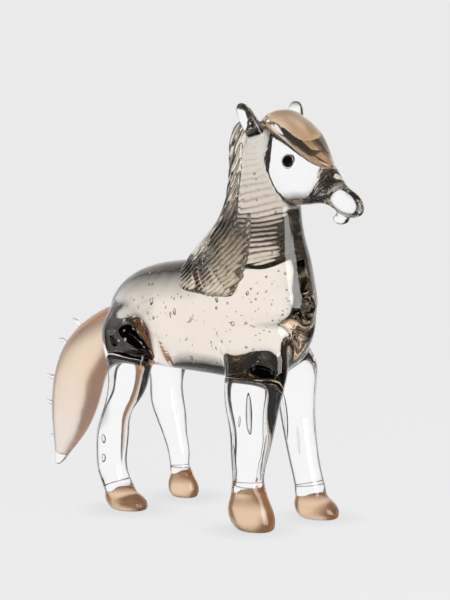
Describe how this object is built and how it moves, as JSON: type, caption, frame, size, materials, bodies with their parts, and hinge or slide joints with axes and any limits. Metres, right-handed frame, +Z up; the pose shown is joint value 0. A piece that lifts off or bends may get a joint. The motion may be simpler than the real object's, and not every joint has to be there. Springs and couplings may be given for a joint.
{
  "type": "glass horse figurine",
  "caption": "Standing horse figurine in solid clear glass with tinted inner gathers, combed mane, pulled ears, rounded hooves and a curved tail; rests on its soles as an ornament.",
  "frame": {"origin": "on the ground under the middle of the figurine's bounding box", "axes": "+Z up, -Y the way the horse faces, +X the horse's left side"},
  "size_m": [0.0602, 0.1945, 0.1936],
  "materials": {
    "crystal": "fire-polished clear glass",
    "champagne": "clear glass with a champagne tint and seed bubbles",
    "caramel": "caramel glass, almost opaque",
    "mane_brown": "combed brown glass, ribbed and fire-polished",
    "black_bead": "black glass, polished"
  },
  "bodies": {
    "root": {"barrel_casing": "crystal", "barrel_core": "champagne", "ear_left": "crystal", "ear_right": "crystal", "eye_bead_left": "black_bead", "eye_bead_right": "black_bead", "eye_lens_left": "crystal", "eye_lens_right": "crystal", "forelock_casing": "crystal", "forelock_core": "caramel", "head": "crystal", "hoof_casing_fore_left": "crystal", "hoof_casing_fore_right": "crystal", "hoof_casing_hind_left": "crystal", "hoof_casing_hind_right": "crystal", "hoof_core_fore_left": "caramel", "hoof_core_fore_right": "caramel", "hoof_core_hind_left": "caramel", "hoof_core_hind_right": "caramel", "leg_fore_left": "crystal", "leg_fore_right": "crystal", "leg_hind_left": "crystal", "leg_hind_right": "crystal", "lower_lip": "crystal", "mane_left": "mane_brown", "mane_right": "mane_brown", "neck_casing": "crystal", "neck_core": "champagne", "tail_casing": "crystal", "tail_core": "caramel", "tail_nips": "crystal"}
  },
  "joints": []
}
